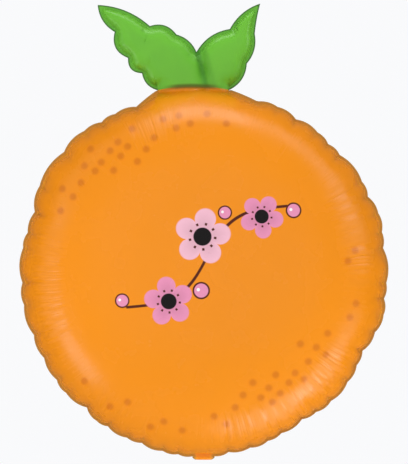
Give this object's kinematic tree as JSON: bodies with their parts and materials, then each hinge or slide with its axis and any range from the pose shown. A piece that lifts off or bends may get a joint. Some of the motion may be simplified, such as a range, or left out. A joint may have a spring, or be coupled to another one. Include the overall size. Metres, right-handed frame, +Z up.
{
  "type": "foil balloon",
  "caption": "Inflated foil party balloon: a round orange body and puffed green leaves in one crimped heat-sealed rim, with a valve tail folded under it.",
  "frame": {"origin": "middle of the filling tail's flat outer face, under the body, where a ribbon, weight or cup is fastened", "axes": "+Z up through the leaves, -Y out of the front film, +X to the right as seen from the front"},
  "size_m": [0.4193, 0.2465, 0.5184],
  "materials": {
    "front_film": "printed foil, satin gloss, orange body with green leaves",
    "back_film": "printed foil, satin gloss, orange body with green leaves",
    "valve_film": "clear soft film"
  },
  "bodies": {
    "root": {"front_panel": "front_film", "back_panel": "back_film", "valve_sleeve": "valve_film"}
  },
  "joints": []
}
